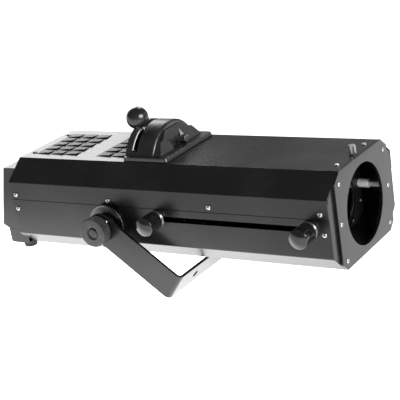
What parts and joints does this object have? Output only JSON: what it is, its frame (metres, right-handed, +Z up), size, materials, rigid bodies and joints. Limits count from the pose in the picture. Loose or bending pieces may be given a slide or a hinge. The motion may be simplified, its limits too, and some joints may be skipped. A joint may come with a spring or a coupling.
{
  "type": "followspot",
  "caption": "Stage followspot: octagonal sheet-metal housing with sliding zoom and focus lens carriages, a ball-lever colour sector under a drum, and a clamped U-shaped yoke.",
  "frame": {"origin": "on the table, under the middle of the bounding box, with the lamp standing on its two feet and its swung yoke", "axes": "+X the way the beam points (the beam itself is pitched up by 7.08 degrees), +Y to the lamp's left as seen from behind it, away from the lens knobs, +Z up"},
  "size_m": [0.6986, 0.3522, 0.293],
  "materials": {
    "black_coat": "satin",
    "black_plastic": "satin",
    "black_gloss": "gloss",
    "rubber": "matte",
    "steel": "satin",
    "aluminium": "satin",
    "dark_aluminium": "anodised",
    "black_aluminium": "anodised",
    "clear_glass": "polished",
    "amber_glass": "polished",
    "blue_glass": "polished",
    "circuit_board": "matte",
    "emitter": "satin"
  },
  "bodies": {
    "housing": {"lower_tray": "black_coat", "upper_cover": "black_coat", "front_bulkhead": "black_coat", "front_plate": "black_coat", "rear_bulkhead": "black_coat", "rear_cover": "black_coat", "rear_base": "black_coat", "foot_near": "rubber", "foot_far": "rubber", "mains_inlet": "black_plastic", "switch_frame": "black_plastic", "heatsink": "dark_aluminium", "sink_bracket_near": "steel", "sink_bracket_far": "steel", "led_board": "circuit_board", "led_emitter": "emitter", "condenser_tube": "black_aluminium", "condenser_lens": "clear_glass", "fan_frame": "black_plastic", "fan_spider": "black_plastic", "power_supply": "aluminium", "gate_bulkhead": "black_coat", "guide_rod_near": "steel", "guide_rod_far": "steel", "lever_shaft": "steel", "dome_base": "black_plastic", "dome_cover": "black_plastic", "dome_cowl": "black_plastic", "friction_disc_near": "black_plastic", "friction_disc_far": "black_plastic", "clamp_stud_near": "steel", "clamp_stud_far": "steel"},
    "yoke": {"yoke_bar": "black_coat", "yoke_spacer_near": "black_plastic", "yoke_spacer_far": "black_plastic"},
    "near_clamp_knob": {"yoke_knob_near": "black_plastic"},
    "far_clamp_knob": {"yoke_knob_far": "black_plastic"},
    "zoom": {"zoom_carriage": "black_aluminium", "zoom_lens": "clear_glass", "zoom_lens_ring": "black_aluminium", "zoom_stud": "steel", "zoom_collar": "aluminium"},
    "zoom_lock": {"zoom_knob": "black_plastic"},
    "focus": {"focus_carriage": "black_aluminium", "focus_lens": "clear_glass", "focus_lens_ring": "black_aluminium", "focus_stud": "steel", "focus_collar": "aluminium"},
    "focus_lock": {"focus_knob": "black_plastic"},
    "lever": {"lever_hub": "steel", "lever_stem": "steel", "lever_ball": "black_gloss", "colour_sector": "steel", "filter_amber": "amber_glass", "filter_blue": "blue_glass"},
    "dome_lock": {"dome_lock_knob": "black_plastic"},
    "thumbscrew": {"top_thumbscrew": "steel"},
    "fan": {"fan_rotor": "black_plastic"},
    "rocker": {"switch_rocker": "black_plastic"}
  },
  "joints": [
    {"name": "yoke_tilt", "type": "hinge", "parent": "housing", "child": "yoke", "pos_m": [-0.085, 0, 0.10703], "axis": [0, 1, 0], "range_deg": [-3, 106]},
    {"name": "near_clamp_turn", "type": "hinge", "parent": "housing", "child": "near_clamp_knob", "pos_m": [-0.085, -0.1471, 0.10703], "axis": [0, -1, 0], "range_deg": [0, 360]},
    {"name": "far_clamp_turn", "type": "hinge", "parent": "housing", "child": "far_clamp_knob", "pos_m": [-0.085, 0.1471, 0.10703], "axis": [0, 1, 0], "range_deg": [0, 360]},
    {"name": "zoom_slide", "type": "slide", "parent": "housing", "child": "zoom", "axis": [0.9924, 0, 0.1232], "range_m": [-0.003, 0.13]},
    {"name": "zoom_lock_turn", "type": "hinge", "parent": "zoom", "child": "zoom_lock", "pos_m": [0.01197, -0.129, 0.13106], "axis": [0, -1, 0], "range_deg": [0, 360]},
    {"name": "focus_slide", "type": "slide", "parent": "housing", "child": "focus", "axis": [0.9924, 0, 0.1232], "range_m": [-0.125, 0.003]},
    {"name": "focus_lock_turn", "type": "hinge", "parent": "focus", "child": "focus_lock", "pos_m": [0.29827, -0.129, 0.16661], "axis": [0, -1, 0], "range_deg": [0, 360]},
    {"name": "lever_swing", "type": "hinge", "parent": "housing", "child": "lever", "pos_m": [-0.06135, 0, 0.18998], "axis": [0.9924, 0, 0.1232], "range_deg": [-83, 33]},
    {"name": "dome_lock_turn", "type": "hinge", "parent": "housing", "child": "dome_lock", "pos_m": [-0.02355, 0.013, 0.22641], "axis": [0.9924, 0, 0.1232], "range_deg": [0, 360]},
    {"name": "thumbscrew_turn", "type": "hinge", "parent": "housing", "child": "thumbscrew", "pos_m": [0.31611, 0, 0.25428], "axis": [-0.1232, 0, 0.9924], "range_deg": [0, 360]},
    {"name": "fan_spin", "type": "hinge", "parent": "housing", "child": "fan", "pos_m": [-0.29853, 0, 0.09402], "axis": [0.9924, 0, 0.1232], "continuous": true},
    {"name": "switch_rock", "type": "hinge", "parent": "housing", "child": "rocker", "pos_m": [-0.33057, 0.01, 0.02504], "axis": [-0.1232, 0, 0.9924], "range_deg": [-12, 0]}
  ]
}
